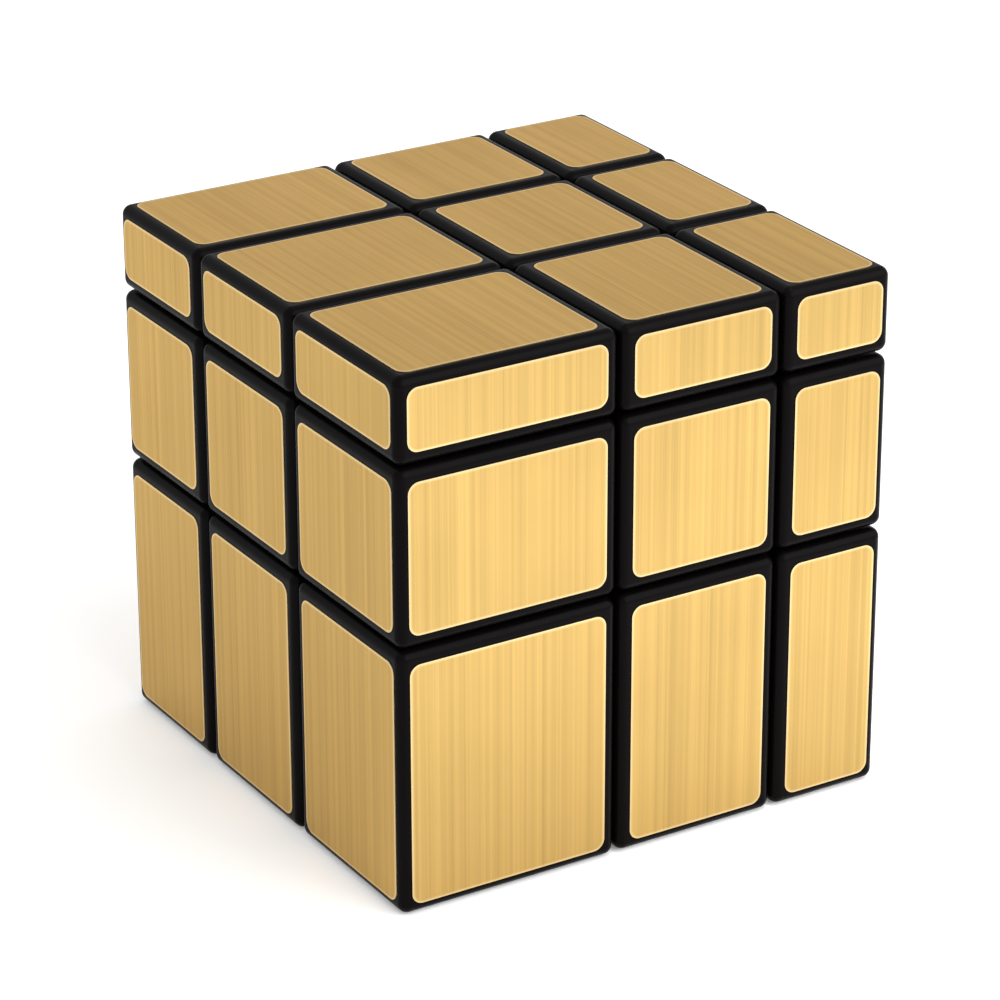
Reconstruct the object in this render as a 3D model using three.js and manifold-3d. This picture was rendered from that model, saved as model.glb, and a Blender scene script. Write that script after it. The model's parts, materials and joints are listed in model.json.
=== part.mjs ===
// Mirror block cube: a 3 x 3 x 3 twisting puzzle whose nine layers have unequal thickness.
// Millimetres, +Z up. The origin is at the bottom centre of the solved cube; -Y is the front.
// Every piece is cut from the same stepped surfaces of revolution round the core, so that each
// outer layer can turn by any angle while its feet stay hooked under their neighbours.
import * as THREE from "three";
import { mergeVertices } from "three/addons/utils/BufferGeometryUtils.js";
import { RoundedBoxGeometry } from "three/addons/geometries/RoundedBoxGeometry.js";
import Module from "manifold-3d";

// ---- layers of the cube
const SLICE = 19; // middle layer, the same on all three axes
const LAYER = { left: 25, right: 13, front: 20.8, back: 17.2, bottom: 28.7, top: 9.3 };

// ---- shells
const WALL = 1.7; // plastic wall of caps, edge blocks and corner shells
const EDGE_ROUND = 1; // rounding of every outer edge
const GAP = 0.3; // running gap between pieces that turn past each other
const FIT = 0.2; // gap between pieces that are fixed to each other
const VENT_R = 1.5; // moulding hole in each end of an edge block

// ---- turning mechanism, measured from the centre of the core
const STEM_HALF = 5.5; // half width of a centre's square stem
const CAP_PLATE = 1.5; // the thinnest cap
const CROWN = 0.9; // plastic of a centre base above the crown of its grooves
const CAP_PLUG = 1.2; // how far a cap's tube reaches into its centre base
const CAP_TUBE_WALL = 1.1;
const CUTTER_PAST = 1; // how far a cutting solid runs past the surface that it opens

// ---- fineness of the facets
const ROUND_SEGMENTS = 48; // facets of a full turn of the grooves and feet
const SMALL_SEGMENTS = 16; // facets of a full turn of everything round and small
const EDGE_STEPS = 2; // steps of a rounded outer edge
const ROUND_SHARE = 0.497; // the most of a block's thickness that its rounding may take
const BALL_DETAIL = 2; // times that the faces of the core's ball are divided
const WIRE_SIDES = 6; // sides of a spring's wire
const COIL_STEPS = 10; // steps of one turn of a spring
const WELD = 1e-4; // vertices closer than this are one

// ---- core, screws, springs and washers
const BALL_ROOM = 1.7; // between the ball and the innermost corners of the edge feet
const ARM_STAND = 1.2; // how far the core's arms stand out of its ball
const ARM_ROOM = 2; // between an arm and the flat sides of the edge feet
const WELL_WALL = 1.15; // plastic round the well of a centre base
const FLOOR = 1.5; // floor of that well, which the screw passes through
const SCREW_R = 1.4;
const TIP_ROOM = 1.2; // from a screw's tip to the side of the next screw's hole
const HEAD_R = 2.7;
const HEAD_HEIGHT = 1.8;
const HEAD_ROUND = 0.35;
const HEAD_ROOM = 0.5; // between a screw's head and the cap's tube
const DRIVE_WIDTH = 0.7; // cross recess of a screw
const DRIVE_DEPTH = 0.9;
const DRIVE_RIM = 1; // from the end of the recess to the rim of the head
const WASHER_ROOM = 0.5; // between a washer and the wall of the well
const WASHER_THICK = 0.4;
const WIRE_R = 0.3;
const COIL_SPACE = 0.3; // between two turns of a spring
const SEAT = 0.1; // gap between a spring or washer and what it presses on

// ---- derived
const half = SLICE / 2;
const thinnest = Math.min(...Object.values(LAYER));
const baseTop = half + thinnest - CAP_PLATE - FIT;
const grooveR = baseTop - CROWN;
const footInner = STEM_HALF + GAP / 2;
const footReach = Math.sqrt((grooveR - GAP / 2) ** 2 - footInner ** 2) + FIT;
const far = 2 * (SLICE + Math.max(...Object.values(LAYER)));
const core = new THREE.Vector3(
  (LAYER.left - LAYER.right) / 2,
  (LAYER.front - LAYER.back) / 2,
  LAYER.bottom + half,
);
const ballR = Math.SQRT2 * footInner - BALL_ROOM;
const armR = footInner - ARM_ROOM;
const armReach = ballR + ARM_STAND;
const baseBottom = armReach + FIT;
const wellFloor = baseBottom + FLOOR;
const wellR = STEM_HALF - GAP / 2 - WELL_WALL;
const screwHoleR = SCREW_R + FIT;
const screwTip = screwHoleR + TIP_ROOM;
const plugBottom = baseTop - CAP_PLUG;
const headTop = plugBottom - HEAD_ROOM;
const headUnder = headTop - HEAD_HEIGHT;
const washerTop = headUnder - SEAT;
const washerBottom = washerTop - WASHER_THICK;
const washerR = wellR - WASHER_ROOM;
const springTop = washerBottom - SEAT;
const springBottom = wellFloor + SEAT;
const coilR = (SCREW_R + wellR) / 2;
const coilRise = springTop - springBottom - 2 * WIRE_R;
const coilTurns = coilRise / (2 * WIRE_R + COIL_SPACE);

const wasm = await Module();
wasm.setup();

const plastic = { color: 0x17130f, roughness: 0.38, metalness: 0 };
const innerPlastic = { color: 0x2b2a2c, roughness: 0.55, metalness: 0 };
const steel = { color: 0xb9bcc0, roughness: 0.35, metalness: 1 };

// A three.js geometry as a manifold-3d solid.
function solid(geometry) {
  const bare = geometry.clone();
  bare.deleteAttribute("normal");
  bare.deleteAttribute("uv");
  const merged = mergeVertices(bare, WELD);
  return new wasm.Manifold(
    new wasm.Mesh({
      numProp: 3,
      vertProperties: merged.attributes.position.array,
      triVerts: new Uint32Array(merged.index.array),
    }),
  );
}

function box(low, high) {
  const size = high.map((v, i) => v - low[i]);
  return solid(
    new THREE.BoxGeometry(...size).translate(...low.map((v, i) => v + size[i] / 2)),
  );
}

function roundedBox(low, high) {
  const size = high.map((v, i) => v - low[i]);
  const round = Math.min(EDGE_ROUND, ...size.map((v) => v * ROUND_SHARE));
  const block = new RoundedBoxGeometry(...size, EDGE_STEPS, round);
  return solid(block.translate(...low.map((v, i) => v + size[i] / 2)));
}

// A round bar along +Z. An outer size is inscribed in its circle and a bore is drawn round it,
// so that a faceted foot always runs free in a faceted groove.
function bar(radius, from, to, segments = ROUND_SEGMENTS) {
  return solid(
    new THREE.CylinderGeometry(radius, radius, to - from, segments)
      .rotateX(Math.PI / 2)
      .translate(0, 0, (from + to) / 2),
  );
}

function bore(radius, from, to, segments = ROUND_SEGMENTS) {
  return bar(radius / Math.cos(Math.PI / segments), from, to, segments);
}

// The three axes, and a turn that carries +Z to a signed axis.
const turnTo = {
  top: [0, 0, 0],
  bottom: [180, 0, 0],
  right: [0, 90, 0],
  left: [0, -90, 0],
  back: [-90, 0, 0],
  front: [90, 0, 0],
};
const sideOf = [
  { "-1": "left", 1: "right" },
  { "-1": "front", 1: "back" },
  { "-1": "bottom", 1: "top" },
];

// The space of one layer: all that turns with an outer layer, or all that stays between two.
function outerLayer() {
  const plate = box([-far, -far, half + GAP / 2], [far, far, far]);
  return plate.add(bar(grooveR - GAP / 2, footInner, half + GAP));
}

function middleLayer() {
  const slab = box([-far, -far, GAP / 2 - half], [far, far, half - GAP / 2]);
  const groove = bore(grooveR + GAP / 2, STEM_HALF - GAP / 2, far);
  return slab.subtract(groove).subtract(groove.rotate([180, 0, 0]));
}

const outer = outerLayer();
const middle = middleLayer();
function layerSpace(axis, index) {
  const side = sideOf[axis][index] ?? sideOf[axis][1];
  return (index === 0 ? middle : outer).rotate(turnTo[side]);
}

const layerCache = new Map();
function cell(indices) {
  return indices
    .map((index, axis) => {
      const key = axis + ":" + index;
      if (!layerCache.has(key)) layerCache.set(key, layerSpace(axis, index));
      return layerCache.get(key);
    })
    .reduce((a, b) => a.intersect(b));
}

// The range of one axis that a layer's block fills, from `inner` out to the cube's face.
function span(axis, index, inner = half + GAP / 2, inset = 0) {
  if (index === 0) return [GAP / 2 - half + inset, half - GAP / 2 - inset];
  const face = half + LAYER[sideOf[axis][index]] - inset;
  return index > 0 ? [inner + inset, face] : [-face, -inner - inset];
}

function spanBox(make, indices, inner, inset) {
  const spans = indices.map((index, axis) => span(axis, index, inner, inset));
  return make(
    spans.map((s) => s[0]),
    spans.map((s) => s[1]),
  );
}

// The space round the core that feet may fill, on the piece's own side of it.
function footSpace(indices, reach) {
  const spans = indices.map((index) => {
    if (index === 0) return [-half, half];
    return index > 0 ? [0, reach] : [-reach, 0];
  });
  return box(
    spans.map((s) => s[0]),
    spans.map((s) => s[1]),
  );
}

const cube = new THREE.Group();
cube.position.copy(core);

function place(name, shape, finish, turn = [0, 0, 0]) {
  const mesh = shape.getMesh();
  const geometry = new THREE.BufferGeometry();
  geometry.setAttribute("position", new THREE.BufferAttribute(mesh.vertProperties, 3));
  geometry.setIndex(new THREE.BufferAttribute(mesh.triVerts, 1));
  geometry.computeVertexNormals();
  const made = new THREE.Mesh(geometry, new THREE.MeshStandardMaterial(finish));
  made.name = name;
  made.rotation.set(...turn.map(THREE.MathUtils.degToRad));
  cube.add(made);
}

// ---- the core: a ball with six arms, each bored for a screw
function spider() {
  const ball = solid(new THREE.IcosahedronGeometry(ballR, BALL_DETAIL));
  const sides = Object.values(turnTo);
  const arms = sides.map((turn) => bar(armR, 0, armReach, SMALL_SEGMENTS).rotate(turn));
  const holes = sides.map((turn) =>
    bore(screwHoleR, screwTip - FIT, armReach + FIT, SMALL_SEGMENTS).rotate(turn),
  );
  const whole = arms.reduce((a, b) => a.add(b), ball);
  return holes.reduce((a, b) => a.subtract(b), whole);
}

// ---- one axis stack, along +Z
function screw() {
  const profile = [
    [0, screwTip],
    [SCREW_R / 2, screwTip],
    [SCREW_R, screwTip + SCREW_R],
    [SCREW_R, headUnder],
    [HEAD_R, headUnder],
    [HEAD_R, headTop - 2 * HEAD_ROUND],
    [HEAD_R - HEAD_ROUND, headTop - HEAD_ROUND / 2],
    [HEAD_R - 3 * HEAD_ROUND, headTop],
    [0, headTop],
  ];
  const body = solid(
    new THREE.LatheGeometry(
      profile.map(([r, z]) => new THREE.Vector2(r, z)),
      SMALL_SEGMENTS,
    ).rotateX(Math.PI / 2),
  );
  const reach = HEAD_R - DRIVE_RIM;
  const blade = box(
    [-reach, -DRIVE_WIDTH / 2, headTop - DRIVE_DEPTH],
    [reach, DRIVE_WIDTH / 2, headTop + CUTTER_PAST],
  );
  return body.subtract(blade).subtract(blade.rotate([0, 0, 90]));
}

function washer() {
  const hole = [washerBottom - CUTTER_PAST, washerTop + CUTTER_PAST];
  return bar(washerR, washerBottom, washerTop, SMALL_SEGMENTS).subtract(
    bore(screwHoleR, ...hole, SMALL_SEGMENTS),
  );
}

class Helix extends THREE.Curve {
  getPoint(t) {
    const angle = 2 * Math.PI * coilTurns * t;
    const height = springBottom + WIRE_R + coilRise * t;
    return new THREE.Vector3(coilR * Math.cos(angle), coilR * Math.sin(angle), height);
  }
}

function spring() {
  const section = new THREE.Shape();
  section.absarc(0, 0, WIRE_R, 0, 2 * Math.PI);
  return solid(
    new THREE.ExtrudeGeometry(section, {
      steps: Math.round(coilTurns * COIL_STEPS),
      curveSegments: WIRE_SIDES / 2,
      extrudePath: new Helix(),
    }),
  );
}

function centreBase() {
  const space = cell([0, 0, 1]).intersect(
    box([-half, -half, baseBottom], [half, half, baseTop]),
  );
  const above = baseTop + CUTTER_PAST;
  return space
    .subtract(bore(screwHoleR, baseBottom - CUTTER_PAST, above, SMALL_SEGMENTS))
    .subtract(bore(wellR, wellFloor, above, SMALL_SEGMENTS));
}

// ---- a cap, a plain lid on a thin layer and a hollow block with a locating tube on a thick one
function centreCap(indices, side) {
  const face = half + LAYER[side];
  const from = baseTop + FIT;
  const inner = half - GAP / 2 - WALL;
  const tubeR = wellR - FIT;
  const block = spanBox(roundedBox, indices, half - EDGE_ROUND, 0).rotate(backToTop(side));
  const lid = block.intersect(box([-far, -far, from], [far, far, far]));
  const tube = bar(tubeR, plugBottom, face - WALL / 2, SMALL_SEGMENTS);
  const boreTop = Math.max(face - WALL, from);
  const boreStart = plugBottom - CUTTER_PAST;
  const tubeBore = bar(tubeR - CAP_TUBE_WALL, boreStart, boreTop, SMALL_SEGMENTS);
  const depth = face - WALL - from;
  const room = box([-inner, -inner, from - CUTTER_PAST], [inner, inner, face - WALL]);
  const hollow = depth > WALL ? lid.subtract(room) : lid;
  return hollow.add(tube).subtract(tubeBore);
}

function backToTop(side) {
  const [x, y, z] = turnTo[side];
  return [-x, -y, -z];
}

// ---- an edge block with its foot in one piece, hollow, with a vent in each end
function edge(indices) {
  const inner = footSpace(indices, footReach);
  const space = cell(indices).intersect(spanBox(roundedBox, indices).add(inner));
  const axis = indices.indexOf(0);
  const along = turnTo[sideOf[axis][1]];
  const rib = bar(grooveR + GAP / 2 + WALL, -far, far).rotate(along);
  const cavity = spanBox(box, indices, undefined, WALL).subtract(rib);
  const reach = indices.map((index, a) => {
    if (index === 0) return 0;
    const s = span(a, index, undefined, WALL);
    return index > 0 ? s[1] - VENT_R : s[0] + VENT_R;
  });
  const vent = bore(VENT_R, -half, half, SMALL_SEGMENTS / 2).rotate(along).translate(reach);
  return space.subtract(cavity).subtract(vent);
}

// ---- a corner: an outer shell, open at its inner corner, and the foot that plugs into it
function cornerShell(indices) {
  const opening = footSpace(indices, footReach + FIT);
  const cavity = spanBox(box, indices, undefined, WALL);
  return spanBox(roundedBox, indices).subtract(cavity).subtract(opening);
}

function cornerFoot(indices) {
  return cell(indices).intersect(footSpace(indices, footReach));
}

place("core", spider(), innerPlastic);
const stack = { screw: screw(), washer: washer(), spring: spring(), centre_base: centreBase() };
for (const side of Object.keys(turnTo)) {
  place(side + "_screw", stack.screw, steel, turnTo[side]);
  place(side + "_washer", stack.washer, steel, turnTo[side]);
  place(side + "_spring", stack.spring, steel, turnTo[side]);
  place(side + "_centre_base", stack.centre_base, innerPlastic, turnTo[side]);
}

// ---- every position of the 3 x 3 x 3 grid but its middle
const name = (indices) =>
  [2, 1, 0]
    .filter((axis) => indices[axis] !== 0)
    .map((axis) => sideOf[axis][indices[axis]])
    .join("_");
for (const x of [-1, 0, 1])
  for (const y of [-1, 0, 1])
    for (const z of [-1, 0, 1]) {
      const indices = [x, y, z];
      const sides = Math.abs(x) + Math.abs(y) + Math.abs(z);
      if (sides === 1) {
        const side = name(indices);
        place(side + "_centre_cap", centreCap(indices, side), plastic, turnTo[side]);
      } else if (sides === 2) {
        place(name(indices) + "_edge", edge(indices), plastic);
      } else if (sides === 3) {
        place(name(indices) + "_corner_shell", cornerShell(indices), plastic);
        place(name(indices) + "_corner_foot", cornerFoot(indices), innerPlastic);
      }
    }

export default cube;
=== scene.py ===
"""Looks of a mirror block cube: a 3 x 3 x 3 twisting puzzle whose nine layers differ in
thickness, in black plastic with brushed gold foil on every outer face. Metres, +Z up,
-Y is the front."""

import json
import math
import random

import bmesh
import bpy
from bpy.props import FloatProperty, FloatVectorProperty, IntProperty, PointerProperty
from mathutils import Matrix, Vector

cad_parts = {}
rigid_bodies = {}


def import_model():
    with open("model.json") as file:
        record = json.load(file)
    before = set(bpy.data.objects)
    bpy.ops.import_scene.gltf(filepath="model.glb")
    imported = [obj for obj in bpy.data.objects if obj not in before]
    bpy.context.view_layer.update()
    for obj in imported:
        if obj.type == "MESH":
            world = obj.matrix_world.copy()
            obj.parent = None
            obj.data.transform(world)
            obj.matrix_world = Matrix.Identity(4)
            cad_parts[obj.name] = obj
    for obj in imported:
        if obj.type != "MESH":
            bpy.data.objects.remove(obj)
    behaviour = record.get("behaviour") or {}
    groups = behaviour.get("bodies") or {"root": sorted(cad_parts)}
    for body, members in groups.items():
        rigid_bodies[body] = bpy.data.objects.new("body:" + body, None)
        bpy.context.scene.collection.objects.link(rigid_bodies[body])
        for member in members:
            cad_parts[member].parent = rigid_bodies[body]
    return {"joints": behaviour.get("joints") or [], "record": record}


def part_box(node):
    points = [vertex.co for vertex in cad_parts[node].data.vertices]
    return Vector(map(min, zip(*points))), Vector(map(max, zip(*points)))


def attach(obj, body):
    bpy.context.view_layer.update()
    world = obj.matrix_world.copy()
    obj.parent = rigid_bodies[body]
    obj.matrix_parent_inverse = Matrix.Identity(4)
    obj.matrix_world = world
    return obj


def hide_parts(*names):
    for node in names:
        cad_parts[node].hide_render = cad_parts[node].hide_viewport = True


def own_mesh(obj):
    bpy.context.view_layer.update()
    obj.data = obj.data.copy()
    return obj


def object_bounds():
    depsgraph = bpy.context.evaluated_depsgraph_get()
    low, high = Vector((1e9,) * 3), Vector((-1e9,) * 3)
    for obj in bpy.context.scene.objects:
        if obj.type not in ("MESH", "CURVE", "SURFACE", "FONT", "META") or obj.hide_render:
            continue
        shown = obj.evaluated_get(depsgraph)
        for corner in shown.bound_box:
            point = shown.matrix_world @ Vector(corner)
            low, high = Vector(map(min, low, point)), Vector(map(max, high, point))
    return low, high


bl_info = {
    "name": "Mirror block cube",
    "version": (1, 0, 0),
    "blender": (4, 5, 0),
    "location": "View3D > Sidebar > Mirror cube",
    "description": "Builds the blocks, foil and studio of a twisting puzzle with unequal layers",
    "category": "Object",
}

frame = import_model()
CAD_BOX = [list(corner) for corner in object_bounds()]

AXES = (0, 1, 2)
SIDES = {"top": (2, 1), "bottom": (2, -1)}  # axis and sign
SIDES |= {"front": (1, -1), "back": (1, 1), "left": (0, -1), "right": (0, 1)}
UP = Vector((0, 0, 1))
CORE = Vector(next(j["pos_m"] for j in frame["joints"] if j["name"] == "top_turn"))
BEHAVIOUR = frame["record"]["behaviour"]
BODY_OF = {node: body for body, nodes in BEHAVIOUR["bodies"].items() for node in nodes}
FAR = 0.08  # beyond the whole cube, for the spaces that pieces are cut from
SHARP = math.radians(32)  # folds steeper than this are seen as edges
WELD = 1e-7  # corners closer than this are one
FACES_UP = 0.9  # a normal with more Z than this points up
FILM_SIDE = 0.5  # of the square of film that the stickers are cut from
MOST_NOISE = {"From Min": 0.3, "From Max": 0.7}  # where nearly all values of a noise lie

# ---- facets of a full turn, and steps along a curve
SMALL_ROUND = 32  # vent holes
SCREW_ROUND = 48  # holes that the screws pass through
WIDE_ROUND = 64  # arms, tubes, wells, washers and screws
BALL_DETAIL = 5  # times that the faces of the core's ball are divided
DOME_STEPS = 10  # from the rim of a screw's head to its top
THREAD_STEPS = 40  # along one turn of a thread
COIL_STEPS = 48  # along one turn of a spring
WIRE_SIDES = 12
CORNER_STEPS = 8  # round one corner of a sticker

# ---- shape of a screw's head
HEAD_SKIRT = 0.45  # share of its height that is straight below the dome
DRIVE_TAPER = 0.6  # length of the cross recess at its bottom, as a share of that at its top

# ---- the studio's fixed measures
WHITE = (1, 1, 1, 1)
TABLE_HALF = 3
TABLE_ROUGH = 0.9
KEY_SIZE = (1.1, 0.8)
KEY_PLACE, KEY_TARGET = Vector((0.36, -0.66, 0.5)), Vector((0.03, -0.08, 0))
POOL_PLACE, POOL_TARGET = Vector((0.072, -0.122, 0.6)), Vector((0.055, -0.1, 0))
POOL_ANGLE = math.radians(21)
POOL_BULB = 0.02  # radius of its lamp, which softens the edge of the pool
NEAR_CLIP, FAR_CLIP = 0.01, 20


# ---- where the layers are, read from the frame and counted from the middle of the core
def reach(node, axis):
    """How far the two ends of a node lie from the core along an axis."""
    return tuple(round(corner[axis] - CORE[axis], 7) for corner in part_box(node))


def layer_spans(axis):
    """The ranges that the blocks of an axis's three layers fill."""
    middle = ("top_centre_cap", "top_centre_cap", "front_centre_cap")[axis]
    nodes = {-1: "bottom_front_left_corner_shell", 0: middle, 1: "top_back_right_corner_shell"}
    return {index: reach(node, axis) for index, node in nodes.items()}


SPANS = [layer_spans(axis) for axis in AXES]
MIDDLE_HALF = SPANS[0][0][1]
BLOCK_START = SPANS[0][1][0]
GAP = BLOCK_START - MIDDLE_HALF
CUT = (MIDDLE_HALF + BLOCK_START) / 2
FOOT_START = reach("top_front_edge", 2)[0]
FOOT_REACH = reach("top_back_right_corner_foot", 2)[1]
CAP_TUBE_END = reach("top_centre_cap", 2)[0]
BASE_BOTTOM, BASE_TOP = reach("top_centre_base", 2)
ARM_END = reach("core", 2)[1]
SCREW_TIP, SCREW_TOP = reach("top_screw", 2)
HEAD_RADIUS = reach("top_screw", 0)[1]
WASHER_LOW, WASHER_HIGH = reach("top_washer", 2)
WASHER_RADIUS = reach("top_washer", 0)[1]
SPRING_LOW, SPRING_HIGH = reach("top_spring", 2)


def piece_name(indices):
    """top_front_left for a corner, top_front for an edge, top for a centre."""
    return "_".join(side for side, (axis, sign) in SIDES.items() if indices[axis] == sign)


def places(count):
    """The places of the 3 x 3 x 3 grid that have this many outer faces."""
    grid = [(x, y, z) for x in (-1, 0, 1) for y in (-1, 0, 1) for z in (-1, 0, 1)]
    return [indices for indices in grid if sum(map(abs, indices)) == count]


# ---- sizes and colours a user would change
def length(label, about, default):
    return FloatProperty(
        name=label, description=about, default=default, min=0, unit="LENGTH", precision=5
    )


def number(label, about, default):
    return FloatProperty(name=label, description=about, default=default)


def count(label, about, default, least=0):
    return IntProperty(name=label, description=about, default=default, min=least)


def angle(label, about, degrees):
    return FloatProperty(
        name=label, description=about, default=math.radians(degrees), subtype="ANGLE"
    )


def colour(label, about, default):
    return FloatVectorProperty(
        name=label, description=about, default=default, size=4, min=0, max=1, subtype="COLOR"
    )


def linear(hex_colour):
    """A linear RGBA colour from an sRGB hex value such as "1a1613"."""
    parts = [int(hex_colour[i : i + 2], 16) / 255 for i in (0, 2, 4)]
    return (*(p / 12.92 if p <= 0.04045 else ((p + 0.055) / 1.055) ** 2.4 for p in parts), 1.0)


class BlockSizes(bpy.types.PropertyGroup):
    """Sizes of the moulded blocks and of the grooves and feet that hold them."""

    edge_round: length("Edge rounding", "Radius of every outer edge of a block", 0.00105)
    round_steps: count("Rounding steps", "Facets across a rounded edge", 6, 2)
    wall: length("Wall", "Plastic wall of caps, edge blocks and corner shells", 0.0017)
    fit: length("Fit", "Gap between pieces that are fixed to each other", 0.0002)
    groove_radius: length("Groove radius", "Middle of the gap between feet and grooves", 0.0162)
    bore_segments: count("Groove facets", "Facets of a full turn of a groove", 96, 24)
    vent_radius: length("Vent radius", "Moulding hole in each end of an edge block", 0.0015)
    tube_radius: length("Tube radius", "Outside of the tube under a cap", 0.004)
    tube_wall: length("Tube wall", "Plastic wall of that tube", 0.0011)


class WorksSizes(bpy.types.PropertyGroup):
    """Sizes of the core and of what is stacked on each of its six arms."""

    ball_room: length("Ball room", "From the core's ball to the corners of the feet", 0.0017)
    arm_room: length("Arm room", "From the core's arms to the flat sides of the feet", 0.002)
    well_room: length("Well room", "Between a washer and the wall of its well", 0.0005)
    seat: length("Seat", "Gap between a spring and what it presses on", 0.0001)
    shank: length("Shank", "Radius of a screw over its thread", 0.0014)
    thread_depth: length("Thread depth", "From crest to root", 0.00035)
    thread_pitch: length("Thread pitch", "From crest to crest", 0.00095)
    head_height: length("Head height", "Under the head to its top", 0.0018)
    drive_reach: length("Drive reach", "From the middle of the cross recess to its ends", 0.0017)
    drive_width: length("Drive width", "Across one slot of the cross recess", 0.0007)
    drive_depth: length("Drive depth", "Depth of the cross recess", 0.0009)
    washer_break: length("Broken edge", "Rounding of a washer's edges", 0.00008)
    wire: length("Wire", "Radius of a spring's wire", 0.0003)
    coil_pitch: length("Coil pitch", "From turn to turn of an open spring", 0.0009)


class FoilSizes(bpy.types.PropertyGroup):
    """Sizes of the foil stickers."""

    thickness: length("Thickness", "Film and glue together", 0.0001)
    inner_margin: length("Inner margin", "Black left beside a cut between two layers", 0.00153)
    outer_margin: length("Outer margin", "Black left beside an outer edge of the cube", 0.00121)
    corner_round: length("Corner rounding", "Radius of a sticker's corners", 0.0012)
    rim: length("Rim", "Width of the rim that the die presses down", 0.00032)
    rim_drop: length("Rim drop", "How far the outside of that rim is pressed down", 0.00003)
    seed: count("Seed", "Which stretch of brushing each sticker shows", 7)


class Finishes(bpy.types.PropertyGroup):
    """Colours of the pieces."""

    foil: colour("Gold foil", "Lacquered gold film", linear("b99a5d"))
    shell: colour("Shell plastic", "Outer blocks", linear("070505"))
    inner: colour("Inner plastic", "Core, centre bases and corner feet", linear("242325"))
    steel: colour("Screws and washers", "Zinc plated steel", linear("c4c5c9"))
    wire: colour("Springs", "Drawn spring wire", linear("a9a39a"))


class StageSettings(bpy.types.PropertyGroup):
    """Camera, lights and table."""

    azimuth: angle("Azimuth", "Camera's turn round the cube from the front", -31.377)
    elevation: angle("Elevation", "Camera's height over the table", 23.764)
    roll: angle("Roll", "Camera's tilt to one side", -0.129)
    distance: length("Distance", "From the lens to the middle of the cube", 0.43977)
    lens: number("Lens", "Focal length in millimetres", 152.81)
    aim: FloatVectorProperty(
        name="Aim", description="Camera's place right and up", size=2, default=(0.000155, -0.00082)
    )
    surround: number("Surround", "Brightness of the room", 1.02)
    table_glow: number("Table glow", "Light that comes up through the table", 0.17)
    key: number("Key light", "Watts", 7.5)
    pool: number("Pool light", "Watts on the table before the cube", 10.5)
    floor: colour("Floor", "Matt white table", linear("f4f4f4"))


# ---- node trees and materials
NOISE, MAP_RANGE, MATH = "ShaderNodeTexNoise", "ShaderNodeMapRange", "ShaderNodeMath"


def add(tree, kind, inputs=None, to=None, **settings):
    """Adds one node with its settings and inputs, and links its result to a socket. An input
    is a value, a socket, or a node whose result is meant."""
    made = tree.nodes.new(kind)
    for key, value in settings.items():
        setattr(made, key, value)
    for key, value in (inputs or {}).items():
        source = result(value) if isinstance(value, bpy.types.Node) else value
        if isinstance(source, bpy.types.NodeSocket):
            tree.links.new(source, made.inputs[key])
        else:
            made.inputs[key].default_value = source
    if to is not None:
        tree.links.new(result(made), to)
    return made


def result(node):
    """A node's first output in use."""
    return next(socket for socket in node.outputs if socket.enabled)


def new_material(name, tint, values):
    """A material with nothing but its Principled shader, and what to build on."""
    material = bpy.data.materials.new(name)
    material.use_nodes = True
    material.diffuse_color = tint
    tree = material.node_tree
    tree.nodes.clear()
    shader = add(tree, "ShaderNodeBsdfPrincipled", {"Base Color": tint, **values})
    add(tree, "ShaderNodeOutputMaterial", {"Surface": shader})
    return material, tree, shader


def once(make):
    """Runs a material's recipe the first time only, and then hands out the same material."""

    def get():
        name = make.__name__
        return bpy.data.materials.get(name) or make(name, bpy.context.scene.cube_finishes)

    return get


@once
def glossy_black_abs(name, finishes):
    # Injection moulded ABS from a polished tool: near black, a soft sheen broken by a faint
    # orange peel about half a millimetre across, and fine rub marks from handling.
    values = {"IOR": 1.53, "Specular IOR Level": 0.035}
    material, tree, shader = new_material(name, finishes.shell, values)
    place = add(tree, "ShaderNodeTexCoord").outputs["Object"]
    haze = add(tree, NOISE, {"Vector": place, "Scale": 260, "Detail": 3})
    peel = add(tree, NOISE, {"Vector": place, "Scale": 2000, "Detail": 2})
    wiping = {"Vector": place, "Rotation": (0.6, 0.9, 0.4), "Scale": (300, 6000, 300)}
    wiped = add(tree, "ShaderNodeMapping", wiping)
    rub = add(tree, NOISE, {"Vector": wiped, "Scale": 1, "Detail": 1})
    rubbed = {"Value": rub, "From Min": 0.62, "From Max": 0.72, "To Min": 0, "To Max": 0.12}
    hazy = {**MOST_NOISE, "Value": haze, "To Min": 0.26, "To Max": 0.36}
    both = {0: add(tree, MAP_RANGE, hazy), 1: add(tree, MAP_RANGE, rubbed)}
    add(tree, MATH, both, shader.inputs["Roughness"], operation="ADD")
    skin = {"Height": peel, "Strength": 0.5, "Distance": 0.000004}
    add(tree, "ShaderNodeBump", skin, shader.inputs["Normal"])
    return material


@once
def moulded_inner_abs(name, finishes):
    # ABS as moulded from an unpolished tool: dark grey, matt, with a fine spark-eroded grain
    # and cloudy flow marks a few millimetres long where the melt cooled.
    material, tree, shader = new_material(name, finishes.inner, {"IOR": 1.53})
    place = add(tree, "ShaderNodeTexCoord").outputs["Object"]
    grain = add(tree, NOISE, {"Vector": place, "Scale": 5000, "Detail": 3})
    melt = {"Vector": place, "Scale": 240, "Detail": 2, "Distortion": 1.5}
    flow = add(tree, NOISE, melt)
    tones = {0: flow, 6: linear("1b1a1c"), 7: linear("323034")}
    add(tree, "ShaderNodeMix", tones, shader.inputs["Base Color"], data_type="RGBA")
    rough = {**MOST_NOISE, "Value": flow, "To Min": 0.45, "To Max": 0.6}
    add(tree, MAP_RANGE, rough, shader.inputs["Roughness"])
    skin = {"Height": grain, "Strength": 0.6, "Distance": 0.00001}
    add(tree, "ShaderNodeBump", skin, shader.inputs["Normal"])
    return material


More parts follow.
